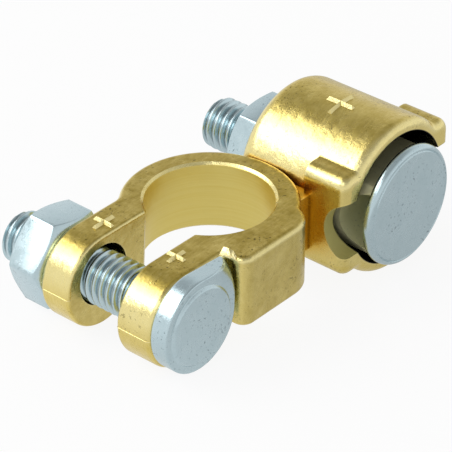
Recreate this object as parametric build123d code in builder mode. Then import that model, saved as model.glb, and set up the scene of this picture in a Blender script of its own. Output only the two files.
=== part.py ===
"""Battery terminal clamp: a cast brass ring with two ears, and a barrel that grips the cable.

The clamp bolt draws the two ears together round the battery post. The cable bolt draws its disc
into the barrel, so that the cable lying in the cross notch is gripped between disc and casting.

Frame: origin on the axis of the post bore, at the underside of the ring. +Z is up, +X runs along
both bolts from their nuts to their heads, +Y runs from the ears to the barrel. Millimetres.
"""
from build123d import *
from math import acos, atan2, cos, degrees, hypot, radians, sin, sqrt, tan
import os

# ---- driving dimensions -----------------------------------------------------------------------
# Post bore and ring
post_d = 19.5            # larger end of the tapered battery post
post_taper = 1 / 9       # loss of diameter per unit of height
post_slack = 0.03        # radial play of the open clamp on its post
post_mouth_chamfer = 0.4
ring_height = 11.2
ring_wall = 2.95
pad_step = 3.7           # flat side wall of the ring, out from the ear beside the bolt head
pad_end_y = 6.9
pad_round = 5.0          # where the flat wall runs back into the ring
shoulder_round = 2.0
shoulder_gap = 0.9       # from the round of the bolt head to the shoulder that stops it turning

# Ears
ear_gap = 8.8
near_ear_wall = 6.1
far_ear_wall = 5.4
ear_end_r = 7.0
bolt_clearance = 3.22    # battery post to the thread of the clamp bolt
ear_root_y = -5.0        # the ears run this far into the ring
ear_foot_run = 0.2       # from the round end to where the ears' underside leaves the ring's
ear_foot_round = 2.0
ear_hole_lift = 0.5      # the hole sits this far above the bolt that lies in it

# Bolts and nuts (M8)
thread_d = 8.0
thread_pitch = 1.25
thread_depth = 0.66
thread_crest = 0.14      # width of the crest and of the ridge's foot, as shares of the pitch
thread_foot = 0.94
thread_lead = 0.75       # plain end before the thread starts
thread_sink = 0.1        # the ridge's foot is sunk this far into the core
nut_flats = 13.0
nut_height = 6.3
nut_face_share = 0.95    # chamfer circle on a nut's face, as a share of its flats
nut_corner_angle = 30.0
nut_bore_play = 0.1      # radial, so that the nut runs on its thread
seat_play = 0.02         # between a nut or a head and the face that it bears on

# Clamp bolt: drop-shaped head
head_r = 7.0
head_height = 2.8
head_nose_reach = 9.2    # axis to the tip of the nose
head_nose_angle = 61.5   # degrees from +Y toward +Z
head_nose_round = 0.7
head_boss_r = 5.9
head_boss_height = 0.4
clamp_bolt_proud = 4.2   # thread beyond its nut
clamp_nut_turn = 25.0    # degrees that a flat is turned from level

# Barrel, its bore and its wings
barrel_set_in = 0.95     # the round of the barrel runs this far into that of the ring
barrel_z = 6.1
barrel_wall = 1.75
barrel_mouth_x = 14.8
barrel_back_x = -5.6
barrel_floor = 5.8       # thickness of the closed end
mouth_round = 1.5
back_round = 2.2
wing_length = 7.3        # along X, back from the mouth
wing_stand_out = 0.25    # side of a wing, out from the round of the barrel
wing_top_z = 14.0
wing_bottom_z = -2.2
wing_round = 2.0
notch_r = 4.65           # cable notch across both wings
notch_x = 15.9
notch_z = 5.55

# Cable bolt: disc, saddle and thread
disc_r = 9.2
disc_height = 1.45
disc_x = 17.2            # outer face of the disc with the clamp open
disc_edge = 0.35
disc_slack = 0.9         # disc to bore, all round when centred
bolt_hole_slack = 0.7    # thread to its hole in the closed end
bolt_rest_play = 0.1     # the bolt lies this far above the bottom of its hole
saddle_r = 8.7
saddle_half_height = 5.7
saddle_x = 5.6           # inner end of the saddle
cable_way_r = 4.65       # round way through the saddle
cable_bolt_proud = 7.0
cable_nut_turn = 34.0
thread_chamfer = 0.4     # on the core at a bolt's free end

# Casting
neck_inset = 1.0         # the neck between ring and barrel stands in from the closed end
neck_bottom_z = 0.6
neck_top_z = 9.6
edge_round = 0.9
gap_edge_round = 0.5
crease_round = 0.8
ear_blend = 3.0          # far ear into the round of the ring

# ---- worked-out sizes -------------------------------------------------------------------------
bore_bottom_r = post_d / 2 + post_slack
bore_top_r = bore_bottom_r - ring_height * post_taper / 2
ring_r = bore_bottom_r + ring_wall - post_slack
thread_r = thread_d / 2
thread_root_r = thread_r - thread_depth
near_ear_x = ear_gap / 2 + near_ear_wall
far_ear_x = -(ear_gap / 2 + far_ear_wall)
pad_x = near_ear_x + pad_step
clamp_bolt_y = -(bore_bottom_r + bolt_clearance + thread_r)
ear_end_z = ring_height - ear_end_r
ear_bottom_z = ear_end_z - ear_end_r
ear_end_y = clamp_bolt_y - ear_end_r
ear_foot_y = clamp_bolt_y + sqrt(ear_end_r**2 - ear_end_z**2) + ear_foot_run
foot_bearing = degrees(atan2(-ear_end_z, ear_foot_y - clamp_bolt_y))
foot_distance = hypot(ear_foot_y - clamp_bolt_y, ear_end_z)
ear_underside_angle = 360 + foot_bearing - degrees(acos(ear_end_r / foot_distance))
ear_underside_start = (
    clamp_bolt_y + ear_end_r * cos(radians(ear_underside_angle)),
    ear_end_z + ear_end_r * sin(radians(ear_underside_angle)),
)
clamp_bolt_z = ear_end_z + ear_hole_lift
ear_hole_r = thread_r + ear_hole_lift + bolt_rest_play
shoulder_y = clamp_bolt_y + head_r + shoulder_gap
barrel_bore_r = disc_r + disc_slack
barrel_r = barrel_bore_r + barrel_wall
barrel_y = ring_r + barrel_r - barrel_set_in
wing_half_width = barrel_r + wing_stand_out
barrel_length = barrel_mouth_x - barrel_back_x
bolt_hole_r = thread_r + bolt_hole_slack
cable_bolt_z = barrel_z - bolt_hole_slack + bolt_rest_play
disc_back_x = disc_x - disc_height
wing_back_x = barrel_mouth_x - wing_length
bore_floor_x = barrel_back_x + barrel_floor
clamp_bolt_end_x = far_ear_x - seat_play - nut_height - clamp_bolt_proud
cable_bolt_end_x = barrel_back_x - seat_play - nut_height - cable_bolt_proud
head_face_x = near_ear_x + seat_play + head_height
nose_spread = degrees(acos(head_r / head_nose_reach))


def round_the_head(radius, angle):
    """The point at this radius and angle about the clamp bolt, seen along the bolt."""
    return (
        clamp_bolt_y + radius * cos(radians(angle)),
        clamp_bolt_z + radius * sin(radians(angle)),
    )


nose_tip = round_the_head(head_nose_reach, head_nose_angle)
nose_tangent_a = round_the_head(head_r, head_nose_angle - nose_spread)
nose_tangent_b = round_the_head(head_r, head_nose_angle + nose_spread)
nut_corner_r = nut_flats / sqrt(3)
nut_face_r = nut_flats / 2 * nut_face_share
nut_bore_r = thread_r + nut_bore_play
nut_corner_drop = (nut_corner_r - nut_face_r) * tan(radians(nut_corner_angle))
over = 1.0               # cutters run this far past what they cut

os.makedirs("parts", exist_ok=True)


def save(node, name):
    """Label a finished sub-part and write it as one STEP file."""
    node.part.label = name
    export_step(node.part, f"parts/{name}.step")


def is_upright(edge):
    """Whether an edge is a straight upright one."""
    return edge.geom_type == GeomType.LINE and abs(edge.tangent_at(0.5).Z) > 0.99


def runs_across(edge):
    """Whether an edge runs across both ears, where one smooth face meets the next."""
    return abs(edge.tangent_at(0.5).X) > 0.99 and edge.length > ear_gap


def in_gap(face):
    """Whether a face looks into the gap between the ears."""
    return abs(abs(face.center().X) - ear_gap / 2) < 0.01


def at_post_mouth(edge):
    """Whether an edge bounds the post bore, above or below."""
    return min(abs(edge.radius - bore_bottom_r), abs(edge.radius - bore_top_r)) < 0.01


def on_barrel(edge):
    """Whether an edge lies on the outer round of the barrel."""
    middle = edge.center()
    return abs(hypot(middle.Y - barrel_y, middle.Z - barrel_z) - barrel_r) < 0.01


def inner_corners(sketch, x):
    """The corners at this X where an ear runs into the ring."""
    return sketch.vertices().filter_by(lambda v: abs(v.X - x) < 0.01 and v.Y > ear_end_y / 2)


def circles_of(part, radius, x):
    """The round edges of this radius that stand square to the bolts at this X."""
    rings = part.edges().filter_by(GeomType.CIRCLE)
    return rings.filter_by(lambda e: abs(e.radius - radius) < 0.01 and abs(e.center().X - x) < 0.01)


def one_turn(x, y, z, radius):
    """One turn of a right-handed helix about a line along X, from this X on."""
    return Helix(thread_pitch, thread_pitch, radius, center=(x, y, z), direction=(1, 0, 0)).edge()


def thread_ridge(start_x, end_x, y, z):
    """The helical ridge of a thread, built turn by turn; its last turn ends short of end_x."""
    foot_r = thread_root_r - thread_sink
    profile = (
        (foot_r, -thread_foot / 2),
        (foot_r, thread_foot / 2),
        (thread_r, thread_crest / 2),
        (thread_r, -thread_crest / 2),
    )
    flanks, ends = [], []
    for turn in range(int((end_x - start_x) / thread_pitch)):
        rails = [
            one_turn(start_x + (turn + share) * thread_pitch, y, z, radius)
            for radius, share in profile
        ]
        for rail, next_rail in zip(rails, rails[1:] + rails[:1]):
            flanks.append(Face.make_surface_from_curves(rail, next_rail))
        ends += [Face(Wire.make_polygon([rail @ t for rail in rails], close=True)) for t in (0, 1)]
    return Solid(Shell(flanks + [ends[0], ends[-1]]))


# ---- barrel and wings, joined to the ring below ------------------------------------------------
with BuildPart() as barrel:
    with BuildSketch(Plane.YZ.offset(barrel_back_x)):
        with Locations((barrel_y, barrel_z)):
            Circle(barrel_r)
    extrude(amount=barrel_length)
    fillet(circles_of(barrel, barrel_r, barrel_back_x), back_round)

    # One block across the mouth makes both wings.
    with BuildSketch(Plane.YZ.offset(wing_back_x)):
        with Locations((barrel_y, (wing_top_z + wing_bottom_z) / 2)):
            RectangleRounded(2 * wing_half_width, wing_top_z - wing_bottom_z, wing_round)
    extrude(amount=wing_length)
    wing_creases = barrel.edges().filter_by(Axis.X).filter_by(on_barrel)
    fillet(wing_creases, crease_round)
    fillet(barrel.faces().sort_by(Axis.X)[-1].outer_wire().edges(), mouth_round)

# ---- clamp body: ring, ears, barrel and wings in one casting -----------------------------------
with BuildPart() as clamp_body:
    # Plan of ring and ears, with the flat pad on the near side.
    with BuildSketch(Plane.XY.offset(ear_bottom_z)) as plan:
        with BuildLine():
            Polyline(
                (0, shoulder_y), (pad_x, shoulder_y), (pad_x, pad_end_y), (0, pad_end_y), close=True
            )
        make_face()
        fillet(plan.vertices().sort_by(Axis.X)[-2:].sort_by(Axis.Y)[-1], pad_round)
        fillet(plan.vertices().sort_by(Axis.Y)[:2].sort_by(Axis.X)[-1], shoulder_round)
        Circle(ring_r)
        with BuildLine():
            Polyline(
                (far_ear_x, ear_root_y),
                (far_ear_x, ear_end_y),
                (near_ear_x, ear_end_y),
                (near_ear_x, ear_root_y),
                close=True,
            )
        make_face()
        fillet(inner_corners(plan, far_ear_x), ear_blend)
        fillet(inner_corners(plan, near_ear_x), crease_round)
    extrude(amount=ring_height - ear_bottom_z)

    # Side view: the ears end round at the bolt, and their underside rises to that of the ring.
    with BuildSketch(Plane.YZ) as side_view:
        with BuildLine():
            CenterArc((clamp_bolt_y, ear_end_z), ear_end_r, 90, ear_underside_angle - 90)
            Polyline(
                (clamp_bolt_y, ring_height),
                (ring_r + over, ring_height),
                (ring_r + over, 0),
                (ear_foot_y, 0),
                ear_underside_start,
            )
        make_face()
        ear_foot = side_view.vertices().filter_by(lambda v: abs(v.X - ear_foot_y) < 0.01)
        fillet(ear_foot, ear_foot_round)
    extrude(amount=pad_x + over, both=True, mode=Mode.INTERSECT)

    # Round the whole outline, above and below.
    outline = clamp_body.edges().filter_by(lambda e: not is_upright(e) and not runs_across(e))
    fillet(outline, edge_round)
    # Barrel, and the neck that carries it.
    add(barrel)
    with BuildSketch(Plane.XY.offset(neck_bottom_z)):
        with BuildLine():
            Polyline(
                (barrel_back_x + neck_inset, 0),
                (barrel_back_x + neck_inset, barrel_y),
                (wing_back_x + neck_inset, barrel_y),
                (wing_back_x + neck_inset, 0),
                close=True,
            )
        make_face()
    extrude(amount=neck_top_z - neck_bottom_z)

    # Gap between the ears, with its outline softened, and the tapered post bore.
    with BuildSketch(Plane.XY.offset(ear_bottom_z - over)):
        with Locations((0, ear_end_y / 2 - over)):
            Rectangle(ear_gap, -ear_end_y + 2 * over)
    extrude(amount=ring_height - ear_bottom_z + 2 * over, mode=Mode.SUBTRACT)
    gap_walls = clamp_body.faces().filter_by(Axis.X).filter_by(in_gap)
    fillet(gap_walls.edges().filter_by(lambda e: not is_upright(e)), gap_edge_round)
    with BuildSketch():
        Circle(bore_bottom_r)
    with BuildSketch(Plane.XY.offset(ring_height)):
        Circle(bore_top_r)
    loft(mode=Mode.SUBTRACT)
    post_mouths = clamp_body.edges().filter_by(GeomType.CIRCLE).filter_by(at_post_mouth)
    chamfer(post_mouths, post_mouth_chamfer)

    # Holes of the ears for the clamp bolt.
    with BuildSketch(Plane.YZ.offset(far_ear_x - over)):
        with Locations((clamp_bolt_y, clamp_bolt_z + ear_hole_lift)):
            Circle(ear_hole_r)
    extrude(amount=near_ear_x - far_ear_x + 2 * over, mode=Mode.SUBTRACT)

    # Bore of the barrel from the mouth, and the bolt hole through its closed end.
    with BuildSketch(Plane.YZ.offset(bore_floor_x)):
        with Locations((barrel_y, barrel_z)):
            Circle(barrel_bore_r)
    extrude(amount=barrel_mouth_x - bore_floor_x + over, mode=Mode.SUBTRACT)
    with BuildSketch(Plane.YZ.offset(barrel_back_x - over)):
        with Locations((barrel_y, barrel_z)):
            Circle(bolt_hole_r)
    extrude(amount=barrel_floor + 2 * over, mode=Mode.SUBTRACT)

    # Cable notch, straight across both wings.
    with BuildSketch(Plane.XZ.offset(-barrel_y)):
        with Locations((notch_x, notch_z)):
            Circle(notch_r)
    extrude(amount=wing_half_width + over, both=True, mode=Mode.SUBTRACT)

save(clamp_body, "clamp_body")

# ---- clamp bolt: drop-shaped head, whose nose meets the shoulder of the ring --------------------
with BuildPart() as clamp_bolt:
    with BuildSketch(Plane.YZ.offset(near_ear_x + seat_play)) as head_outline:
        with Locations((clamp_bolt_y, clamp_bolt_z)):
            Circle(head_r)
        with BuildLine():
            head_middle = (clamp_bolt_y, clamp_bolt_z)
            Polyline(nose_tangent_a, nose_tip, nose_tangent_b, head_middle, close=True)
        make_face()
        fillet(head_outline.vertices().sort_by(Axis.Y)[-1], head_nose_round)
    extrude(amount=head_height)
    with BuildSketch(Plane.YZ.offset(head_face_x)):
        with Locations((clamp_bolt_y, clamp_bolt_z)):
            Circle(head_boss_r)
    extrude(amount=head_boss_height, taper=45)
    with BuildSketch(Plane.YZ.offset(clamp_bolt_end_x)):
        with Locations((clamp_bolt_y, clamp_bolt_z)):
            Circle(thread_root_r)
    extrude(amount=near_ear_x + seat_play - clamp_bolt_end_x)
    chamfer(circles_of(clamp_bolt, thread_root_r, clamp_bolt_end_x), thread_chamfer)
    add(thread_ridge(clamp_bolt_end_x + thread_lead, near_ear_x, clamp_bolt_y, clamp_bolt_z))
save(clamp_bolt, "clamp_bolt")

# ---- cable bolt: disc, saddle that the cable passes through, and thread -------------------------
with BuildPart() as cable_bolt:
    with BuildSketch(Plane.YZ.offset(saddle_x)):
        with Locations((barrel_y, cable_bolt_z)):
            Circle(saddle_r)
            Rectangle(2 * saddle_r, 2 * saddle_half_height, mode=Mode.INTERSECT)
    extrude(amount=disc_back_x - saddle_x)
    with BuildSketch(Plane.XZ.offset(-barrel_y)):
        with Locations((notch_x, notch_z)):
            Circle(cable_way_r)
    extrude(amount=disc_r + over, both=True, mode=Mode.SUBTRACT)
    with BuildSketch(Plane.YZ.offset(disc_back_x)):
        with Locations((barrel_y, cable_bolt_z)):
            Circle(disc_r)
    extrude(amount=disc_height)
    chamfer(circles_of(cable_bolt, disc_r, disc_x), disc_edge)
    with BuildSketch(Plane.YZ.offset(cable_bolt_end_x)):
        with Locations((barrel_y, cable_bolt_z)):
            Circle(thread_root_r)
    extrude(amount=saddle_x - cable_bolt_end_x)
    chamfer(circles_of(cable_bolt, thread_root_r, cable_bolt_end_x), thread_chamfer)
    add(thread_ridge(cable_bolt_end_x + thread_lead, saddle_x, barrel_y, cable_bolt_z))
save(cable_bolt, "cable_bolt")


def hex_nut(seat_x, y, z, turn):
    """A hexagon nut whose right face bears at seat_x, its corners chamfered at both ends."""
    with BuildPart() as nut:
        with BuildSketch(Plane.YZ.offset(seat_x - nut_height)):
            with Locations((y, z)):
                RegularPolygon(nut_flats / 2, 6, major_radius=False, rotation=turn)
                Circle(nut_bore_r, mode=Mode.SUBTRACT)
        extrude(amount=nut_height)
        with BuildSketch(Plane.XZ.offset(-y)) as corner_cone:
            with BuildLine():
                Polyline(
                    (seat_x - nut_height, z),
                    (seat_x - nut_height, z + nut_face_r),
                    (seat_x - nut_height + nut_corner_drop, z + nut_corner_r),
                    (seat_x - nut_corner_drop, z + nut_corner_r),
                    (seat_x, z + nut_face_r),
                    (seat_x, z),
                    close=True,
                )
            make_face()
        revolve(axis=Axis((0, y, z), (1, 0, 0)), mode=Mode.INTERSECT)
    return nut


# ---- nuts --------------------------------------------------------------------------------------
clamp_nut = hex_nut(far_ear_x - seat_play, clamp_bolt_y, clamp_bolt_z, clamp_nut_turn)
save(clamp_nut, "clamp_nut")
cable_nut = hex_nut(barrel_back_x - seat_play, barrel_y, cable_bolt_z, cable_nut_turn)
save(cable_nut, "cable_nut")
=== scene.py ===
import math
from functools import partial

import bmesh
import bpy
from mathutils import Matrix, Vector


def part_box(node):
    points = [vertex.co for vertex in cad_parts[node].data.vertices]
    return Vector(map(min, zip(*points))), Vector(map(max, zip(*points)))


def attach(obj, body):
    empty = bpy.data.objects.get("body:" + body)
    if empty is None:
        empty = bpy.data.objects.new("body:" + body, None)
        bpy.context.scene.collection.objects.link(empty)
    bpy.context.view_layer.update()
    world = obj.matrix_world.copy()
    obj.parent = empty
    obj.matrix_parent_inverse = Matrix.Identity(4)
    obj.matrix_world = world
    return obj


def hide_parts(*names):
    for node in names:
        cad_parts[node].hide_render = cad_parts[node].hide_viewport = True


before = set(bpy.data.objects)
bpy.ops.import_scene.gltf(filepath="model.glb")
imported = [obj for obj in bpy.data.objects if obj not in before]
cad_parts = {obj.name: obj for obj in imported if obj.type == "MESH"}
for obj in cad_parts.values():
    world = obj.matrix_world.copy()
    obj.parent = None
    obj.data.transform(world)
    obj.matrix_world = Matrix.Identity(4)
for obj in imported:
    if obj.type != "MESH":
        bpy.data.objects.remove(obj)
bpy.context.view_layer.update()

MM = 0.001

# ---- sizes of the clamp, in millimetres, as the solids have them ---------------------------------
THREAD_R = 3.98
THREAD_PITCH = 1.25
THREAD_DEPTH = 0.66
THREAD_END_R = 3.6          # the end chamfer of a bolt starts from this radius
CLAMP_BOLT = (-17.0, 4.7)   # y and z of the bolt across the ears
CABLE_BOLT = (23.6, 5.5)    # y and z of the bolt in the barrel
BARREL = (23.6, 6.1)        # y and z of the barrel's middle
BARREL_R = 11.85
RING_TOP_Z = 11.2
EAR_END = (-17.0, 4.2)      # y and z of the middle of the ears' round ends
EAR_END_R = 7.0
NECK_Y = 11.0               # the ring is on the near side of this plane, the barrel on the far side
BORE_R = 9.82               # at the ring's foot: what is nearer the post's axis is turned
BORE_TAPER = 1 / 18         # what the post bore's radius loses with each millimetre up
BARREL_BORE_R = 10.1
BARREL_FLOOR_X = 0.2

HEAD_BACK_X = 10.52         # clamp bolt: underside and face of its drop-shaped head
HEAD_FACE_X = 13.32
HEAD_R = 7.0
NOSE_REACH = 9.75
NOSE_ANGLE = 42.0           # degrees from +Y toward +Z
NOSE_ROUND = 0.5
BOSS_R = 5.9
BOSS_HEIGHT = 0.4
FACE_BEND_R = 4.2           # the nose's face curves back by this radius, beyond the boss

SADDLE_BACK_X = 5.6         # cable bolt: saddle, the way through it, and disc
SADDLE_R = 8.7
SADDLE_HALF_HEIGHT = 5.7
WAY_R = 4.65
WAY = (15.9, 5.55)          # x and z of the cable's way
DISC_BACK_X = 15.75
DISC_FACE_X = 17.2
DISC_R = 9.2

NUT_FLATS = 13.0
NUT_HEIGHT = 6.3
NUT_FACE_R = 5.8            # of the round that the corners' chamfer leaves on a face
NUT_BORE_R = 4.1
NUT_COUNTERSINK = 0.4
NUT_EDGE_ROUND = 0.13
CLAMP_NUT_SEAT_X = -9.82    # the far ear's face, and the barrel's closed end
CABLE_NUT_SEAT_X = -5.62
CLAMP_NUT_CORNER = 52       # degrees from +Y to a corner of the nut
CABLE_NUT_CORNER = 6

FAR_EAR = (-9.8, -4.4)      # outer and inner x of each ear, and how its two corners are rounded
NEAR_EAR = (4.4, 10.5)
EAR_OUTER_ROUND = 0.9
EAR_GAP_ROUND = 0.5


# ---- helpers -------------------------------------------------------------------------------------
def from_hex(code):
    """A hex sRGB colour as the linear colour that a shader takes."""
    values = [int(code[i:i + 2], 16) / 255 for i in (1, 3, 5)]
    return *(v / 12.92 if v <= 0.04045 else ((v + 0.055) / 1.055) ** 2.4 for v in values), 1.0


def add_node(tree, kind, links=None, **settings):
    """Add one node. settings are its properties or input values, by name.

    links go into its inputs: from a node's first output, from a socket, or as a plain value.
    """
    made = tree.nodes.new(kind)
    for key, value in settings.items():
        if hasattr(made, key) and key not in made.inputs:
            setattr(made, key, value)
        else:
            made.inputs[key.replace("_", " ")].default_value = value
    for key, source in (links or {}).items():
        if hasattr(source, "outputs"):
            source = next(socket for socket in source.outputs if socket.enabled)
        if hasattr(source, "is_output"):
            tree.links.new(source, made.inputs[key])
        else:
            made.inputs[key].default_value = source
    return made


def new_material(name):
    """An empty node material, with its tree and its output node."""
    material = bpy.data.materials.new(name)
    material.use_nodes = True
    tree = material.node_tree
    tree.nodes.clear()
    return material, tree, add_node(tree, "ShaderNodeOutputMaterial")


def mesh_piece(name, mesh, material, body, smooth_under, replaced=None):
    """Make a mesh a piece of the object: it rides on its body and is smooth below an edge angle."""
    piece = bpy.data.objects.new(name, mesh)
    bpy.context.scene.collection.objects.link(piece)
    mesh.materials.clear()
    mesh.materials.append(material)
    mesh.shade_smooth()
    mesh.set_sharp_from_angle(angle=math.radians(smooth_under))
    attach(piece, body)
    if replaced:
        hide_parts(replaced)


def finished_mesh(name, shape):
    """The mesh of a shape that is built up, with its faces turned outward."""
    bmesh.ops.recalc_face_normals(shape, faces=shape.faces)
    mesh = bpy.data.meshes.new(name)
    shape.to_mesh(mesh)
    shape.free()
    return mesh


def plain_mesh(maker):
    """The mesh that an object's modifiers or curve make. The object itself is removed."""
    bpy.context.scene.collection.objects.link(maker)
    bpy.context.view_layer.update()
    graph = bpy.context.evaluated_depsgraph_get()
    mesh = bpy.data.meshes.new_from_object(maker.evaluated_get(graph))
    bpy.data.objects.remove(maker)
    return mesh


def stacked_rings(name, rings, closed=False):
    """A closed mesh through rings of as many points each: capped at both ends, or joined into a loop."""
    shape = bmesh.new()
    rows = [[shape.verts.new(Vector(point) * MM) for point in ring] for ring in rings]
    for row, next_row in zip(rows, rows[1:] + rows[:1] if closed else rows[1:]):
        for i in range(len(row)):
            j = (i + 1) % len(row)
            shape.faces.new((row[i], row[j], next_row[j], next_row[i]))
    if not closed:
        for row in (rows[0], rows[-1]):
            shape.faces.new(row)
    bmesh.ops.remove_doubles(shape, verts=shape.verts, dist=0.002 * MM)
    bmesh.ops.dissolve_degenerate(shape, edges=shape.edges, dist=0.001 * MM)
    return finished_mesh(name, shape)


def softened(mesh, width, over):
    """The same mesh with its edges over this angle rounded off."""
    maker = bpy.data.objects.new(mesh.name + "_maker", mesh)
    bevel = maker.modifiers.new("edges", "BEVEL")
    bevel.width, bevel.segments, bevel.angle_limit = width * MM, 2, math.radians(over)
    bevel.use_clamp_overlap = True
    return plain_mesh(maker)


# ---- materials -----------------------------------------------------------------------------------
def casting_places(node, place):
    """Masks of the casting's parts: the turned post bore, the barrel's bore, the notch, the ring's side."""
    x, y, z = node("ShaderNodeSeparateXYZ", {"Vector": place}).outputs
    # How far a point is from the axes of the post bore, the barrel and the cable's notch.
    offsets = (
        node("ShaderNodeVectorMath", {0: place, 1: across, 2: Vector(axis) * -MM}, operation="MULTIPLY_ADD")
        for across, axis in (((1, 1, 0), (0, 0, 0)), ((0, 1, 1), (0, *BARREL)),
                             ((1, 0, 1), (WAY[0], 0, WAY[1]))))
    from_post, from_barrel, from_notch = (
        node("ShaderNodeVectorMath", {0: offset}, operation="LENGTH").outputs["Value"] for offset in offsets)
    untapered = node("ShaderNodeMath", {0: z, 1: BORE_TAPER, 2: from_post}, operation="MULTIPLY_ADD")
    in_bore = node("ShaderNodeMath", {0: untapered, 1: BORE_R * MM}, operation="LESS_THAN")
    in_barrel = node("ShaderNodeMapRange", {"Value": from_barrel}, From_Min=(BARREL_BORE_R + 0.15) * MM,
                     From_Max=(BARREL_BORE_R + 0.05) * MM)
    past_floor = node("ShaderNodeMath", {0: x, 1: (BARREL_FLOOR_X - 0.05) * MM}, operation="GREATER_THAN")
    in_barrel = node("ShaderNodeMath", {0: in_barrel, 1: past_floor}, operation="MULTIPLY")
    on_barrel = node("ShaderNodeMath", {0: y, 1: NECK_Y * MM}, operation="GREATER_THAN")
    on_ring = node("ShaderNodeMath", {0: 1.0, 1: on_barrel}, operation="SUBTRACT")
    in_notch = node("ShaderNodeMath", {0: from_notch, 1: (WAY_R + 0.06) * MM}, operation="LESS_THAN")
    in_notch = node("ShaderNodeMath", {0: in_notch, 1: on_barrel}, operation="MULTIPLY")
    return in_bore, in_barrel, in_notch, on_ring


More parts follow.
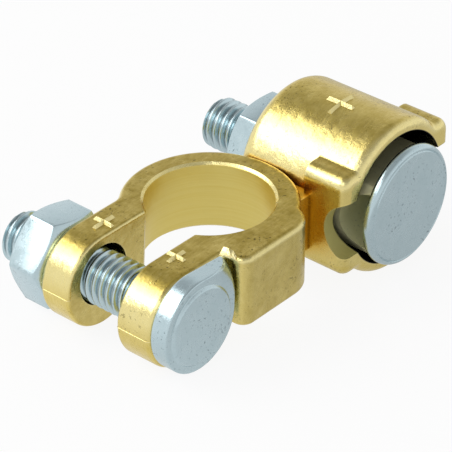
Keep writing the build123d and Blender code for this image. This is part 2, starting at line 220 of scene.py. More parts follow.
def make_cast_brass(name, wear, painted_shade_share):
    """Pressure-cast brass, tumbled: flanks painted paler as a painted highlight, an olive tarnished skin on
    top, a turned post bore.

    Edges are rubbed bright, the creases are darkened, partly tarnished and partly painted shade, the brass
    between two walls is painted a deeper orange as a painted reflection of one wall in the other, and the
    bore of the barrel is painted nearly black as painted shade.
    """
    material, tree, output = new_material(name)
    node = partial(add_node, tree)
    place = node("ShaderNodeTexCoord").outputs["Object"]
    _, _, z = node("ShaderNodeSeparateXYZ", {"Vector": place}).outputs
    facing = node("ShaderNodeNewGeometry").outputs["Normal"]
    facing_x, _, facing_z = node("ShaderNodeSeparateXYZ", {"Vector": facing}).outputs

    # Wobble of 6 mm, cloud of 3 mm, lumps of 1.2 mm and skin of 0.5 mm, then pits and where they lie.
    wobble, cloud, lumps, skin, pinholes, porous = (
        node("ShaderNodeTexNoise", {"Vector": place}, Scale=scale, Detail=detail, Roughness=roughness)
        for scale, detail, roughness in ((170.0, 2.0, 0.5), (330.0, 8.0, 0.74), (820.0, 4.0, 0.6),
                                         (1900.0, 3.0, 0.6), (2300.0, 1.0, 0.6), (150.0, 2.0, 0.6)))
    # Streaks 0.3 mm wide from tumbling, and the turning tool's lines in the post bore, which are drawn
    # coarse at 0.3 mm to show.
    rubbed = node("ShaderNodeMapping", {"Vector": place}, Scale=(3200.0, 620.0, 620.0))
    streak = node("ShaderNodeTexNoise", {"Vector": rubbed}, Scale=1.0, Detail=4.0, Roughness=0.65)
    turning = node("ShaderNodeMapping", {"Vector": place}, Scale=(50.0, 50.0, 3400.0))
    lines = node("ShaderNodeTexNoise", {"Vector": turning}, Scale=1.0, Detail=3.0, Roughness=0.6)

    in_bore, in_barrel, in_notch, on_ring = casting_places(node, place)
    cast = node("ShaderNodeMath", {0: 1.0, 1: in_bore}, operation="SUBTRACT")

    # Where the casting is hollow it is darkened, partly tarnish and partly painted shade, and where it
    # stands out it is rubbed bright.
    shades = (
        node("ShaderNodeAmbientOcclusion", samples=8, only_local=True, inside=inside, Distance=reach * MM)
        for reach, inside in ((1.4, False), (9.0, False), (0.8, True)))
    crease, between_walls, edge = (shade.outputs["AO"] for shade in shades)
    crease_tarnish_and_shade = node("ShaderNodeMapRange", {"Value": crease}, From_Min=0.74, From_Max=0.3, To_Max=0.85)
    # Between two walls the brass is painted a deeper orange: a painted reflection of one brass wall in the
    # other.
    painted_wall_reflection = node("ShaderNodeMath", {0: cloud, 1: 0.4, 2: between_walls}, operation="MULTIPLY_ADD")
    painted_wall_reflection = node("ShaderNodeMapRange", {"Value": painted_wall_reflection}, From_Min=0.88, From_Max=0.6, To_Max=0.85)
    painted_wall_reflection = node("ShaderNodeMath", {0: painted_wall_reflection, 1: cast}, operation="MULTIPLY")
    worn = node("ShaderNodeMapRange", {"Value": edge}, From_Min=0.66, From_Max=0.34, To_Max=wear)
    worn = node("ShaderNodeMath", {0: worn, 1: cast}, operation="MULTIPLY")

    # Tarnish lies on what faces up, in streaks and patches, less on the round of the barrel.
    upward = node("ShaderNodeMapRange", {"Value": facing_z}, From_Min=0.66, From_Max=0.97)
    low_down = node("ShaderNodeMapRange", {"Value": z}, From_Min=12.5 * MM, From_Max=15.5 * MM, To_Min=1.0,
                    To_Max=0.6)
    upward = node("ShaderNodeMath", {0: upward, 1: low_down}, operation="MULTIPLY")
    # The pad's face toward +X is darkened with the same colour, painted shade for the darker floor that it
    # mirrors, and so are the raised marks, painted shade that dims their highlights.
    pad_painted_shade = node("ShaderNodeMapRange", {"Value": facing_x}, From_Min=0.6, From_Max=0.95, To_Max=0.6)
    pad_painted_shade = node("ShaderNodeMath", {0: pad_painted_shade, 1: on_ring}, operation="MULTIPLY")
    tarnish_and_shade_places = node("ShaderNodeMath", {0: upward, 1: pad_painted_shade}, operation="MAXIMUM")
    tarnish_and_shade_places = node("ShaderNodeMath", {0: tarnish_and_shade_places, 1: painted_shade_share}, operation="MAXIMUM")
    tarnish_and_shade_places = node("ShaderNodeMath", {0: tarnish_and_shade_places, 1: cast}, operation="MULTIPLY")
    patches = node("ShaderNodeMix", {"Factor": 0.35, "A": cloud, "B": streak})
    patches = node("ShaderNodeMapRange", {"Value": patches}, From_Min=0.38, From_Max=0.62)
    tarnish_and_shade = node("ShaderNodeMapRange", {"Value": patches}, To_Min=0.45)
    tarnish_and_shade = node("ShaderNodeMath", {0: tarnish_and_shade_places, 1: tarnish_and_shade}, operation="MULTIPLY")
    # Pits are small and dark, and most of them show where nothing has rubbed. Flanks are painted paler,
    # a painted highlight that whitens the soft box's reflection on them.
    pits = node("ShaderNodeMapRange", {"Value": pinholes}, From_Min=0.63, From_Max=0.7, To_Max=0.75)
    porous = node("ShaderNodeMapRange", {"Value": porous}, From_Min=0.46, From_Max=0.6)
    open_skin = node("ShaderNodeMapRange", {"Value": upward}, To_Min=0.55)
    for share in (porous, open_skin, cast):
        pits = node("ShaderNodeMath", {0: pits, 1: share}, operation="MULTIPLY")
    flank = node("ShaderNodeMapRange", {"Value": facing_z}, From_Min=0.92, From_Max=0.7, To_Max=0.45)
    not_under = node("ShaderNodeMapRange", {"Value": facing_z}, From_Min=-0.1, From_Max=0.35)
    for share in (not_under, cast):
        flank = node("ShaderNodeMath", {0: flank, 1: share}, operation="MULTIPLY")
    # The wall of the notch is rough, less metallic and painted a greyer olive: a painted reflection of the
    # floor's light that it would mirror.
    painted_notch_light = node("ShaderNodeMath", {0: in_notch, 1: 0.9}, operation="MULTIPLY")

    # The clean metal and what lies on it, with the painted light and shade, layer by layer, to the bore of
    # the barrel, painted nearly black as shade.
    colour, oxide_and_shade_colour, pale_flank_colour, turned = (
        node("ShaderNodeMix", {"Factor": share, "A": from_hex(first), "B": from_hex(other)}, data_type="RGBA")
        for share, first, other in ((patches, "#E6D283", "#D9C36C"), (lumps, "#8C7628", "#B7A14A"),
                                    (streak, "#EFE3A0", "#FAF6CE"), (lines, "#DEC866", "#EAD98A")))
    for share, layer in ((tarnish_and_shade, oxide_and_shade_colour), (flank, pale_flank_colour), (painted_wall_reflection, from_hex("#D2A01C")),
                         (crease_tarnish_and_shade, from_hex("#6E5210")), (pits, from_hex("#3E3210")),
                         (worn, from_hex("#F6E8AE")), (in_bore, turned), (painted_notch_light, from_hex("#B4AC66")),
                         # The barrel's bore is painted nearly black: painted shade.
                         (in_barrel, from_hex("#0D0C08"))):
        colour = node("ShaderNodeMix", {"Factor": share, "A": colour, "B": layer}, data_type="RGBA")

    rough = node("ShaderNodeMapRange", {"Value": lumps}, From_Min=0.3, From_Max=0.7, To_Min=0.2,
                 To_Max=0.3)
    for share, rise in ((worn, -0.06), (tarnish_and_shade, 0.08)):
        rough = node("ShaderNodeMath", {0: share, 1: rise, 2: rough}, operation="MULTIPLY_ADD")
    for share, level in ((in_bore, 0.36), (in_notch, 0.6)):
        rough = node("ShaderNodeMix", {"Factor": share, "A": rough, "B": level})
    metallic = node("ShaderNodeMath", {0: in_notch, 1: -0.65, 2: 1.0}, operation="MULTIPLY_ADD")

    # Relief: a slow wobble of the wall, the lumps of the skin, and its grain or the tool's lines.
    relief = node("ShaderNodeMath", {0: skin, 1: 0.5}, operation="MULTIPLY")
    relief = node("ShaderNodeMath", {0: streak, 1: 0.8, 2: relief}, operation="MULTIPLY_ADD")
    relief = node("ShaderNodeMix", {"Factor": in_bore, "A": relief, "B": lines})
    lumpy = node("ShaderNodeMath", {0: lumps, 1: cast}, operation="MULTIPLY")
    slow = node("ShaderNodeBump", {"Height": wobble}, Strength=0.3, Distance=0.6 * MM)
    middle = node("ShaderNodeBump", {"Height": lumpy, "Normal": slow}, Strength=0.3, Distance=0.25 * MM)
    fine = node("ShaderNodeBump", {"Height": relief, "Normal": middle}, Strength=0.3, Distance=0.1 * MM)
    metal = node("ShaderNodeBsdfPrincipled",
                 {"Base Color": colour, "Roughness": rough, "Metallic": metallic, "Normal": fine})
    tree.links.new(metal.outputs[0], output.inputs["Surface"])
    return material


def make_zinc_plate(name, roughness, speck_share, root_shade_share=0.0, light="#C8DADF", dark="#B2C7CD",
                    metallic=1.0):
    """Steel with bright zinc plating, passivated blue: a satin skin with small dark specks.

    The root share darkens what is hollow, such as the roots of a thread: painted shade.
    """
    material, tree, output = new_material(name)
    node = partial(add_node, tree)
    place = node("ShaderNodeTexCoord").outputs["Object"]
    # Clouds of 2 mm in the plating, and specks of 0.4 mm that gather in patches of 6 mm.
    cloud = node("ShaderNodeTexNoise", {"Vector": place}, Scale=500.0, Detail=5.0, Roughness=0.65)
    broad = node("ShaderNodeTexNoise", {"Vector": place}, Scale=160.0, Detail=2.0)
    grain = node("ShaderNodeTexNoise", {"Vector": place}, Scale=2600.0, Detail=1.5)
    speck = node("ShaderNodeMapRange", {"Value": grain}, From_Min=0.63, From_Max=0.71, To_Max=speck_share)
    where = node("ShaderNodeMapRange", {"Value": broad}, From_Min=0.42, From_Max=0.6, To_Min=0.15)
    speck = node("ShaderNodeMath", {0: speck, 1: where}, operation="MULTIPLY")
    layers = [(cloud, light), (speck, "#46525A")]
    if root_shade_share:
        # What is hollow is darkened toward near black: painted shade.
        hollow = node("ShaderNodeAmbientOcclusion", samples=8, only_local=True, Distance=0.6 * MM)
        root_shade = node("ShaderNodeMapRange", {"Value": hollow.outputs["AO"]}, From_Min=0.85, From_Max=0.45,
                    To_Max=root_shade_share)
        layers.append((root_shade, "#23282B"))
    colour = from_hex(dark)
    for share, layer in layers:
        colour = node("ShaderNodeMix", {"Factor": share, "A": colour, "B": from_hex(layer)}, data_type="RGBA")
    rough = node("ShaderNodeMapRange", {"Value": cloud}, From_Min=0.3, From_Max=0.7,
                 To_Min=roughness - 0.05, To_Max=roughness + 0.06)
    bump = node("ShaderNodeBump", {"Height": cloud}, Strength=0.25, Distance=0.1 * MM)
    metal = node("ShaderNodeBsdfPrincipled", {"Base Color": colour, "Roughness": rough, "Normal": bump},
                 Metallic=metallic)
    tree.links.new(metal.outputs[0], output.inputs["Surface"])
    return material


# The casting is rubbed bright on its edges. Its raised marks are painted with the tarnish colour, so
# that they hardly shine: painted shade.
brass = make_cast_brass("cast_brass", wear=0.8, painted_shade_share=0.0)
brass_marks = make_cast_brass("cast_brass_marks", wear=0.1, painted_shade_share=0.7)
# Forged heads and nuts mirror softly. The thread, burnished by rolling, is glossier, and its roots are
# darkened with painted shade. The saddle is made rougher and less metallic and painted a pale straw
# colour: a painted reflection of the brass round it.
zinc = make_zinc_plate("zinc_plate", roughness=0.25, speck_share=0.6)
zinc_thread = make_zinc_plate("zinc_plate_rolled_thread", roughness=0.2, speck_share=0.3, root_shade_share=0.9)
zinc_painted_reflection = make_zinc_plate("zinc_plate_painted_reflection", roughness=0.5, speck_share=0.3, light="#E6E3B8",
                             dark="#CFCB96", metallic=0.4)


# ---- rolled threads ------------------------------------------------------------------------------
def make_thread_tree():
    """Geometry nodes of a rolled metric thread along +X, closed at both ends, chamfered at the free one."""
    rows_per_turn, columns = 14, 84
    tree = bpy.data.node_groups.new("rolled_thread", "GeometryNodeTree")
    face = tree.interface
    for name in ("Length", "Radius", "Pitch", "Depth", "End Radius"):
        face.new_socket(name, in_out="INPUT", socket_type="NodeSocketFloat")
    face.new_socket("Start", in_out="INPUT", socket_type="NodeSocketVector")
    face.new_socket("Material", in_out="INPUT", socket_type="NodeSocketMaterial")
    face.new_socket("Geometry", in_out="OUTPUT", socket_type="NodeSocketGeometry")
    node = partial(add_node, tree)
    given = node("NodeGroupInput").outputs

    # One row of points goes once round and one pitch along, so the crest follows a row.
    turns = node("ShaderNodeMath", {0: given["Length"], 1: given["Pitch"]}, operation="DIVIDE")
    turns = node("ShaderNodeMath", {0: turns, 1: 3.0}, operation="ADD")
    rows = node("ShaderNodeMath", {0: turns, 1: rows_per_turn}, operation="MULTIPLY")
    rows = node("ShaderNodeMath", {0: rows}, operation="CEIL")
    lengthwise = node("ShaderNodeMath", {0: rows, 1: 1.0}, operation="ADD")
    grid = node("GeometryNodeMeshGrid", {"Vertices X": lengthwise}, Size_X=1.0, Size_Y=1.0,
                Vertices_Y=columns + 1)
    row_share, round_share, _ = node("ShaderNodeSeparateXYZ", {"Vector": grid.outputs["UV Map"]}).outputs
    row_turn = node("ShaderNodeMath", {0: row_share, 1: rows}, operation="MULTIPLY")
    row_turn = node("ShaderNodeMath", {0: row_turn, 1: rows_per_turn}, operation="DIVIDE")
    around = node("ShaderNodeMath", {0: round_share, 1: 2 * math.pi}, operation="MULTIPLY")
    along = node("ShaderNodeMath", {0: row_turn, 1: round_share}, operation="ADD")
    along = node("ShaderNodeMath", {0: along, 1: -2.0}, operation="ADD")
    along = node("ShaderNodeMath", {0: along, 1: given["Pitch"]}, operation="MULTIPLY")

    # Across one turn: flat crest, straight flanks and rounded root.
    wave = node("ShaderNodeMath", {0: row_turn}, operation="FRACT")
    wave = node("ShaderNodeMath", {0: wave, 1: 2.0, 2: -1.0}, operation="MULTIPLY_ADD")
    wave = node("ShaderNodeMath", {0: wave}, operation="ABSOLUTE")
    straight = node("ShaderNodeMapRange", {"Value": wave}, From_Min=0.12, From_Max=0.88)
    rounded = node("ShaderNodeMapRange", {"Value": wave}, From_Min=0.10, From_Max=0.92,
                   interpolation_type="SMOOTHSTEP")
    rounded = node("ShaderNodeMath", {0: rounded, 1: 0.4}, operation="MULTIPLY")
    cut = node("ShaderNodeMath", {0: straight, 1: 0.6, 2: rounded}, operation="MULTIPLY_ADD")
    cut = node("ShaderNodeMath", {0: cut, 1: given["Depth"]}, operation="MULTIPLY")
    thread_r = node("ShaderNodeMath", {0: given["Radius"], 1: cut}, operation="SUBTRACT")

    # The free end is chamfered, and both ends close to a point on the axis.
    inward = node("ShaderNodeMath", {0: along, 1: 0.0}, operation="MAXIMUM")
    chamfer_r = node("ShaderNodeMath", {0: given["End Radius"], 1: inward}, operation="ADD")
    thread_r = node("ShaderNodeMath", {0: thread_r, 1: chamfer_r}, operation="MINIMUM")
    before = node("ShaderNodeMath", {0: along, 1: 0.0}, operation="MINIMUM")
    before = node("ShaderNodeMath", {0: before, 1: given["Pitch"]}, operation="DIVIDE")
    after = node("ShaderNodeMath", {0: along, 1: given["Length"]}, operation="SUBTRACT")
    after = node("ShaderNodeMath", {0: after, 1: 0.0}, operation="MAXIMUM")
    after = node("ShaderNodeMath", {0: after, 1: given["Pitch"]}, operation="DIVIDE")
    closing = node("ShaderNodeMath", {0: 1.0, 1: before}, operation="ADD")
    closing = node("ShaderNodeMath", {0: closing, 1: after}, operation="SUBTRACT")
    closing = node("ShaderNodeMath", {0: closing, 1: 0.0}, operation="MAXIMUM")
    radius = node("ShaderNodeMath", {0: thread_r, 1: closing}, operation="MULTIPLY")
    x = node("ShaderNodeMath", {0: inward, 1: given["Length"]}, operation="MINIMUM")
    y, z = (node("ShaderNodeMath", {0: around}, operation=kind) for kind in ("COSINE", "SINE"))
    y, z = (node("ShaderNodeMath", {0: radius, 1: part}, operation="MULTIPLY") for part in (y, z))
    point = node("ShaderNodeCombineXYZ", {"X": x, "Y": y, "Z": z})
    place = node("ShaderNodeVectorMath", {0: point, 1: given["Start"]}, operation="ADD")

    laid = node("GeometryNodeSetPosition", {"Geometry": grid, "Position": place})
    seamed = node("GeometryNodeMergeByDistance", {"Geometry": laid}, Distance=0.004 * MM)
    real = node("GeometryNodeRealizeInstances", {"Geometry": seamed})
    finished = node("GeometryNodeSetMaterial", {"Geometry": real, "Material": given["Material"]})
    node("NodeGroupOutput", {"Geometry": finished})
    return tree


thread_tree = make_thread_tree()


def add_thread(bolt, start_x, end_x, axis):
    """The rolled thread of a bolt, from its free end at start_x to where its forged part begins."""
    maker = bpy.data.objects.new(bolt + "_maker", bpy.data.meshes.new(bolt + "_maker"))
    modifier = maker.modifiers.new("thread", "NODES")
    modifier.node_group = thread_tree
    wanted = {"Length": (end_x - start_x) * MM, "Radius": THREAD_R * MM, "Pitch": THREAD_PITCH * MM,
              "Depth": THREAD_DEPTH * MM, "End Radius": THREAD_END_R * MM,
              "Start": (start_x * MM, axis[0] * MM, axis[1] * MM), "Material": zinc_thread}
    for item in thread_tree.interface.items_tree:
        if item.in_out == "INPUT":
            modifier[item.identifier] = wanted[item.name]
    shape = bmesh.new()
    shape.from_mesh(plain_mesh(maker))
    mesh = finished_mesh(bolt + "_thread", shape)
    mesh_piece(bolt + "_thread", mesh, zinc_thread, bolt, 50, bolt)


# ---- clamp bolt: drop-shaped head with a low round boss ------------------------------------------
def head_outline():
    """The drop about the bolt's axis, as (centre along the nose, radius, direction) of each point."""
    spread = math.acos(HEAD_R / NOSE_REACH)
    tip = NOSE_REACH - NOSE_ROUND / math.cos(spread)
    flank = [(tip * i / 12, HEAD_R + (NOSE_ROUND - HEAD_R) * i / 12) for i in range(1, 12)]
    points = [(0.0, HEAD_R, spread + (2 * math.pi - 2 * spread) * i / 84) for i in range(85)]
    points += [(centre, radius, -spread) for centre, radius in flank]
    points += [(tip, NOSE_ROUND, -spread + 2 * spread * i / 8) for i in range(9)]
    points += [(centre, radius, spread) for centre, radius in reversed(flank)]
    return points


def nose_drop(u):
    """How far the face of the head curves back at this distance along the nose."""
    beyond = max(u - BOSS_R, 0.0)
    return FACE_BEND_R - math.sqrt(max(FACE_BEND_R ** 2 - beyond ** 2, 0.0))


def head_mesh():
    """The head through rings: underside, rounded edges, side, face curving back to the tip, boss."""
    outline = head_outline()
    nose, edge, under, boss_foot_r = math.radians(NOSE_ANGLE), 0.22, 0.25, BOSS_R + 0.06

    def inset(distance):
        return [(c + (r - distance) * math.cos(a), (r - distance) * math.sin(a)) for c, r, a in outline]

    def lifted(flat, x_of):
        return [(x_of(u), CLAMP_BOLT[0] + u * math.cos(nose) - v * math.sin(nose),
                 CLAMP_BOLT[1] + u * math.sin(nose) + v * math.cos(nose)) for u, v in flat]

    rim = inset(0.0)
    rings = [lifted([(u * 0.4, v * 0.4) for u, v in rim], lambda u: HEAD_BACK_X)]
    rings += [lifted(inset(under + 0.2), lambda u: HEAD_BACK_X)]
    for turn in (0, 30, 60, 90):
        t = math.radians(turn)
        rings.append(lifted(inset(under * (1 - math.sin(t))),
                            lambda u: HEAD_BACK_X + under * (1 - math.cos(t))))
    side_foot = HEAD_BACK_X + under
    for share in (0.08, 0.92):
        rings.append(lifted(rim, lambda u: side_foot
                            + share * (HEAD_FACE_X - nose_drop(u) - edge - side_foot)))
    for turn in (0, 30, 60, 90):
        t = math.radians(turn)
        rings.append([
            (HEAD_FACE_X - nose_drop(u) - edge * (1 - math.sin(t)),) + lifted([flat], lambda u: 0)[0][1:]
            for (u, v), flat in zip(rim, inset(edge * (1 - math.cos(t))))
        ])
    inner = inset(edge + 0.12)
    round_boss = [(u / math.hypot(u, v), v / math.hypot(u, v)) for u, v in inner]
    boss = [(boss_foot_r * u, boss_foot_r * v) for u, v in round_boss]
    for share in (0.0, 0.15, 0.3, 0.45, 0.6, 0.75, 0.9, 1.0):
        flat = [(a + (c - a) * share, b + (d - b) * share) for (a, b), (c, d) in zip(inner, boss)]
        rings.append(lifted(flat, lambda u: HEAD_FACE_X - nose_drop(u)))
    for inward, height in ((0.0, 0.02), (0.06, 0.1), (0.32, 0.34), (0.4, 0.39), (0.5, BOSS_HEIGHT),
                           (0.9, BOSS_HEIGHT), (3.4, BOSS_HEIGHT)):
        flat = [((BOSS_R - inward) * u, (BOSS_R - inward) * v) for u, v in round_boss]
        rings.append(lifted(flat, lambda u: HEAD_FACE_X + height))
    return stacked_rings("clamp_bolt_head", rings)


mesh_piece("clamp_bolt_head", head_mesh(), zinc, "clamp_bolt", 40, "clamp_bolt")
add_thread("clamp_bolt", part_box("clamp_bolt")[0].x / MM, HEAD_BACK_X + 0.3, CLAMP_BOLT)


# ---- cable bolt: disc and saddle -----------------------------------------------------------------
def disc_mesh():
    """The forged disc, with a rounded rim and the fine groove that the trimming die leaves.

    Its profile is measured inward from the rim, and from the back or down from the face.
    """
    back = ((5.2, 0.0), (0.4, 0.0), (0.22, 0.0), (0.08, 0.06), (0.0, 0.2))
    rim = ((0.0, 1.0), (0.0, 0.86), (0.03, 0.68), (0.1, 0.5), (0.21, 0.34), (0.35, 0.21), (0.5, 0.12),
           (0.6, 0.09))
    groove = ((0.66, 0.09), (0.74, 0.17), (0.82, 0.17), (0.9, 0.08), (1.0, 0.01))
    face = ((1.1, 0.0), (1.3, 0.0), (3.2, 0.0), (6.2, 0.0))
    profile = [(DISC_R - inward, DISC_BACK_X + rise) for inward, rise in back]
    profile += [(DISC_R - inward, DISC_FACE_X - drop) for inward, drop in rim + groove + face]
    turn = [2 * math.pi * i / 128 for i in range(128)]
    rings = [[(x, CABLE_BOLT[0] + r * math.cos(t), CABLE_BOLT[1] + r * math.sin(t)) for t in turn]
             for r, x in profile]
    return stacked_rings("cable_bolt_disc", rings)


def saddle_mesh():
    """The saddle behind the disc, slice by slice across it, with the cable's way cut through."""
    def way_x(z):
        inside = WAY_R ** 2 - (z - WAY[1]) ** 2
        return min(DISC_BACK_X, WAY[0] - math.sqrt(inside)) if inside > 0 else DISC_BACK_X

    rings = []
    steps = sorted([math.sin(math.radians(a)) for a in range(-90, 91, 5)]
                   + [side * math.sqrt(1 - (SADDLE_HALF_HEIGHT / SADDLE_R) ** 2) for side in (-1, 1)])
    for share in steps:
        half = min(SADDLE_HALF_HEIGHT, SADDLE_R * math.sqrt(max(1 - share * share, 0.0)))
        low, high = CABLE_BOLT[1] - half, CABLE_BOLT[1] + half
        heights = [min(max(WAY[1] + WAY_R * math.cos(math.pi * i / 28), low), high) for i in range(29)]
        ring = [(SADDLE_BACK_X, low), (SADDLE_BACK_X, high), (way_x(high), high)]
        ring += [(way_x(z), z) for z in heights] + [(way_x(low), low)]
        rings.append([(x, CABLE_BOLT[0] + share * SADDLE_R, z) for x, z in ring])
    return stacked_rings("cable_bolt_saddle", rings)


mesh_piece("cable_bolt_disc", disc_mesh(), zinc, "cable_bolt", 40, "cable_bolt")
mesh_piece("cable_bolt_saddle", saddle_mesh(), zinc_painted_reflection, "cable_bolt", 30,
           "cable_bolt")
add_thread("cable_bolt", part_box("cable_bolt")[0].x / MM, SADDLE_BACK_X + 0.3, CABLE_BOLT)


# ---- nuts ----------------------------------------------------------------------------------------
def nut_mesh(name, seat_x, axis, corner):
    """A hexagon nut, its corners chamfered at both ends. corner is the angle of one of them."""
    half = math.radians(30)
    turn = [math.radians(corner + 60 * side + 60 * i / 16) for side in range(6) for i in range(16)]
    flats = [NUT_FLATS / 2 / math.cos(math.radians(60 * i / 16) - half) for i in range(16)] * 6
    cut = [(radius - NUT_FACE_R) * math.tan(half) for radius in flats]
    back_x = seat_x - NUT_HEIGHT

    def ring(radii, distances):
        return [(x, axis[0] + r * math.cos(t), axis[1] + r * math.sin(t))
                for x, r, t in zip(distances, radii, turn)]

    def round_ring(radius, x):
        return ring([radius] * len(turn), [x] * len(turn))

    rings = []
    for face_x, inward in ((back_x, 1), (seat_x, -1)):
        end = [round_ring(NUT_BORE_R, face_x + inward * NUT_COUNTERSINK),
               round_ring(NUT_BORE_R + NUT_COUNTERSINK, face_x), round_ring(NUT_FACE_R, face_x),
               ring(flats, [face_x + inward * c for c in cut])]
        rings += end[::inward]
    return softened(stacked_rings(name, rings, closed=True), NUT_EDGE_ROUND, 22)


for nut, seat_x, axis, corner in (("clamp_nut", CLAMP_NUT_SEAT_X, CLAMP_BOLT, CLAMP_NUT_CORNER),
                                  ("cable_nut", CABLE_NUT_SEAT_X, CABLE_BOLT, CABLE_NUT_CORNER)):
    mesh = nut_mesh(nut + "_forged", seat_x, axis, corner)
    mesh_piece(nut + "_forged", mesh, zinc, nut, 30, nut)


# ---- casting: its solid, and the small forms on it -----------------------------------------------
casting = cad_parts["clamp_body"]
casting.data.materials.clear()
casting.data.materials.append(brass)


def raised_cross(name, half_u, half_v, width, rise, lay):
    """A raised plus mark with roof-shaped arms and a sunk foot. lay puts (u, v, height) in place."""
    shape = bmesh.new()
    w, sink = width / 2, -0.25
    tip_u, tip_v = half_u - w * 0.8, half_v - w * 0.8

    def corner(u, v, height):
        return shape.verts.new((u, v, height))

    outline = [(half_u, -w), (half_u, w), (w, w), (w, half_v), (-w, half_v), (-w, w),
               (-half_u, w), (-half_u, -w), (-w, -w), (-w, -half_v), (w, -half_v), (w, -w)]
    foot = [corner(u, v, sink) for u, v in outline]
    base = [corner(u, v, 0.0) for u, v in outline]
    for i in range(12):
        shape.faces.new((foot[i], foot[(i + 1) % 12], base[(i + 1) % 12], base[i]))
    middle = corner(0, 0, rise)
    tips = [corner(u, v, rise) for u, v in ((tip_u, 0), (0, tip_v), (-tip_u, 0), (0, -tip_v))]
    for side in range(4):
        a, b = base[(3 * side) % 12], base[(3 * side + 1) % 12]
        before, after = base[(3 * side - 1) % 12], base[(3 * side + 2) % 12]
        shape.faces.new((a, b, tips[side]))
        shape.faces.new((b, after, middle, tips[side]))
        shape.faces.new((before, a, tips[side], middle))
    shape.faces.new(list(reversed(foot)))
    ridges = [edge for edge in shape.edges if len(edge.link_faces) == 2
              and min(vertex.co.z for vertex in edge.verts) >= 0 and edge.calc_face_angle(0) > 0.3]
    bmesh.ops.bevel(shape, geom=ridges, offset=0.07, segments=2, affect="EDGES", profile=0.6)
    bmesh.ops.triangulate(shape, faces=shape.faces)
    for vertex in shape.verts:
        vertex.co = lay(*vertex.co)
    mesh_piece(name, finished_mesh(name, shape), brass_marks, "body", 25)


def on_flat(x, y):
    """Lays a mark on the flat top of an ear."""
    return lambda u, v, height: Vector((x + u, y + v, RING_TOP_Z + height)) * MM


def on_barrel_top(x, y):
    """Lays a mark round the barrel."""
    middle = math.asin((y - BARREL[0]) / BARREL_R)
    return lambda u, v, height: Vector((
        x + u,
        BARREL[0] + (BARREL_R + height) * math.sin(middle + v / BARREL_R),
        BARREL[1] + (BARREL_R + height) * math.cos(middle + v / BARREL_R),
    )) * MM


raised_cross("plus_on_barrel", half_u=2.3, half_v=2.6, width=0.72, rise=0.5, lay=on_barrel_top(4.75, 22.87))
raised_cross("plus_on_near_ear", half_u=1.5, half_v=1.65, width=0.66, rise=0.46, lay=on_flat(6.35, -14.05))
raised_cross("plus_on_far_ear", half_u=1.65, half_v=1.95, width=0.68, rise=0.47, lay=on_flat(-6.75, -14.2))


def make_peened_lump():
    """The rough lump that peening has raised on the shoulder behind the bolt head's nose."""
    foot_z = RING_TOP_Z - 0.25
    large = [(10.15, -9.75, foot_z), (11.9, -9.4, foot_z), (12.0, -8.3, foot_z), (10.0, -8.2, foot_z),
             (10.3, -8.95, 12.0), (11.15, -8.8, 12.0), (11.6, -8.45, 11.7), (10.25, -8.35, 11.8),
             (11.75, -9.2, 11.35)]
    small = [(11.7, -9.35, foot_z), (12.6, -9.2, foot_z), (12.5, -8.5, foot_z), (11.8, -8.5, foot_z),
             (11.95, -8.95, 11.6), (12.3, -8.8, 11.5)]
    shape = bmesh.new()
    for points in (large, small):
        chunk = bmesh.new()
        for point in points:
            chunk.verts.new(Vector(point) * MM)
        bmesh.ops.convex_hull(chunk, input=chunk.verts)
        bmesh.ops.bevel(chunk, geom=chunk.edges[:], offset=0.05 * MM, segments=2, affect="EDGES", profile=0.6)
        shape.from_mesh(finished_mesh("chunk", chunk))
    mesh_piece("peened_lump", finished_mesh("peened_lump", shape), brass, "body", 30)


make_peened_lump()


def parting_line(name, points):
    """The thin seam that the halves of the mould leave, swept along points in millimetres."""
    curve = bpy.data.curves.new(name, "CURVE")
    curve.dimensions, curve.use_fill_caps = "3D", True
    curve.bevel_depth, curve.bevel_resolution = 0.05 * MM, 2
    spline = curve.splines.new("POLY")
    spline.points.add(len(points) - 1)
    for point, place in zip(spline.points, points):
        point.co = (*(Vector(place) * MM), 1.0)
    mesh = plain_mesh(bpy.data.objects.new(name + "_maker", curve))
    mesh_piece(name, mesh, brass, "body", 60)


def round_end(left_x, right_x, left_round, right_round):
    """Points across the round end of an ear at its middle height, and round both of its corners."""
    end_y = EAR_END[0] - EAR_END_R
    corner = [(1 - math.cos(math.radians(15 * i)), 1 - math.sin(math.radians(15 * i))) for i in range(7)]
    points = [(left_x + left_round * across, end_y + left_round * back) for across, back in corner]
    points += [(right_x - right_round * across, end_y + right_round * back)
               for across, back in reversed(corner)]
    return [(x, y, EAR_END[1]) for x, y in points]


parting_line("parting_line_far_ear", round_end(*FAR_EAR, EAR_OUTER_ROUND, EAR_GAP_ROUND))
parting_line("parting_line_near_ear", round_end(*NEAR_EAR, EAR_GAP_ROUND, EAR_OUTER_ROUND))


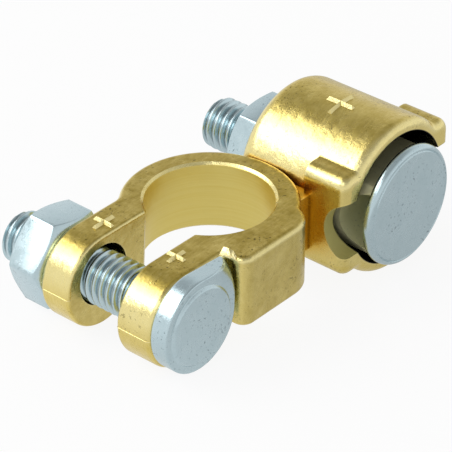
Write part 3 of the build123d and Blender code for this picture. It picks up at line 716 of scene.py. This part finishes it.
# ---- floor, light and camera ---------------------------------------------------------------------
def make_floor():
    """A pale, matte floor, tilted to touch the undersides of the ears and the barrel.

    What the metal mirrors of it is brighter toward the left soft box.
    """
    run, rise = BARREL[0] - EAR_END[0], BARREL[1] - EAR_END[1]
    slope = math.atan2(rise, run) - math.asin((BARREL_R - EAR_END_R) / math.hypot(run, rise))
    down = Vector((0, math.sin(slope), -math.cos(slope)))
    touch = Vector((0, BARREL[0], BARREL[1])) * MM + down * BARREL_R * MM
    bpy.ops.mesh.primitive_plane_add(size=1.6)
    floor = bpy.context.object
    floor.name = "floor"
    floor.data.transform(Matrix.Translation(touch) @ Matrix.Rotation(slope, 4, "X"))
    material, tree, output = new_material("pale_floor")
    node = partial(add_node, tree)
    matte = node("ShaderNodeBsdfDiffuse", Color=from_hex("#E9E9E9"))
    ray = node("ShaderNodeLightPath").outputs
    place = node("ShaderNodeTexCoord").outputs["Object"]
    x, y, _ = node("ShaderNodeSeparateXYZ", {"Vector": place}).outputs
    across = node("ShaderNodeMath", {0: x, 1: y}, operation="ADD")
    lit = node("ShaderNodeMapRange", {"Value": across}, From_Min=-50 * MM, From_Max=40 * MM, To_Min=1.0,
               To_Max=0.66)
    level = node("ShaderNodeMix", {"Factor": ray["Is Glossy Ray"], "A": 1.0, "B": lit})
    glow = node("ShaderNodeEmission", {"Strength": level})
    seen = node("ShaderNodeMath", {0: ray["Is Camera Ray"], 1: 0.9}, operation="MULTIPLY")
    mirrored = node("ShaderNodeMath", {0: ray["Is Glossy Ray"], 1: 0.85}, operation="MULTIPLY")
    share = node("ShaderNodeMath", {0: seen, 1: mirrored}, operation="MAXIMUM")
    mixed = node("ShaderNodeMixShader", {0: share, 1: matte, 2: glow})
    tree.links.new(mixed.outputs[0], output.inputs["Surface"])
    floor.data.materials.append(material)


def make_world():
    """White behind the object, and a soft studio round it that is greyer overhead."""
    world = bpy.data.worlds.new("studio")
    bpy.context.scene.world = world
    world.use_nodes = True
    tree = world.node_tree
    tree.nodes.clear()
    node = partial(add_node, tree)
    direction = node("ShaderNodeTexCoord").outputs["Generated"]
    _, _, height = node("ShaderNodeSeparateXYZ", {"Vector": direction}).outputs
    level = node("ShaderNodeValToRGB", {"Fac": height})
    ramp = level.color_ramp
    ramp.elements[0].position, ramp.elements[0].color = 0.0, (1.0, 1.0, 1.0, 1)
    ramp.elements[1].position, ramp.elements[1].color = 0.78, (0.46, 0.46, 0.46, 1)
    middle = ramp.elements.new(0.55)
    middle.color = (0.82, 0.82, 0.82, 1)
    room = node("ShaderNodeBackground", {"Color": level}, Strength=1.0)
    white = node("ShaderNodeBackground", Color=(1, 1, 1, 1), Strength=1.0)
    seen = node("ShaderNodeLightPath").outputs["Is Camera Ray"]
    mixed = node("ShaderNodeMixShader", {0: seen, 1: room, 2: white})
    node("ShaderNodeOutputWorld", {"Surface": mixed})


def soft_box(name, azimuth, elevation, distance, width, height, radiance):
    """A rectangular studio light that looks at the clamp. Angles in degrees, lengths in metres."""
    a, e = math.radians(azimuth), math.radians(elevation)
    way = Vector((math.cos(a) * math.cos(e), math.sin(a) * math.cos(e), math.sin(e)))
    light = bpy.data.lights.new(name, "AREA")
    light.shape = "RECTANGLE"
    light.size, light.size_y = width, height
    light.energy = radiance * math.pi * width * height
    lamp = bpy.data.objects.new(name, light)
    lamp.location = way * distance + Vector((0, 3, 5)) * MM
    lamp.rotation_euler = (-way).to_track_quat("-Z", "Y").to_euler()
    bpy.context.scene.collection.objects.link(lamp)


def make_camera():
    """A long lens above the right-hand side. Angles in degrees, the rest in millimetres."""
    azimuth, elevation = math.radians(40.8154), math.radians(33.1043)
    distance, aside, above = 366.0977, 2.2857, 5.4394
    level = math.cos(elevation)
    forward = Vector((-math.sin(azimuth) * level, math.cos(azimuth) * level, -math.sin(elevation)))
    right = Vector((math.cos(azimuth), math.sin(azimuth), 0))
    up = right.cross(forward)
    camera = bpy.data.objects.new("camera", bpy.data.cameras.new("camera"))
    camera.data.lens, camera.data.sensor_width = 207.08, 36
    camera.data.clip_start, camera.data.clip_end = 0.01, 20
    place = (-distance * forward + aside * right + above * up) * MM
    turn = Matrix((right, up, -forward)).transposed().to_4x4()
    camera.matrix_world = Matrix.Translation(place) @ turn
    bpy.context.scene.collection.objects.link(camera)
    bpy.context.scene.camera = camera


make_floor()
make_world()
soft_box("left_soft_box", azimuth=-142, elevation=43, distance=0.7, width=0.62, height=0.42, radiance=3.2)
soft_box("front_soft_box", azimuth=-75, elevation=47, distance=0.7, width=0.34, height=0.26, radiance=1.6)
make_camera()
bpy.context.scene.view_settings.view_transform = "Standard"
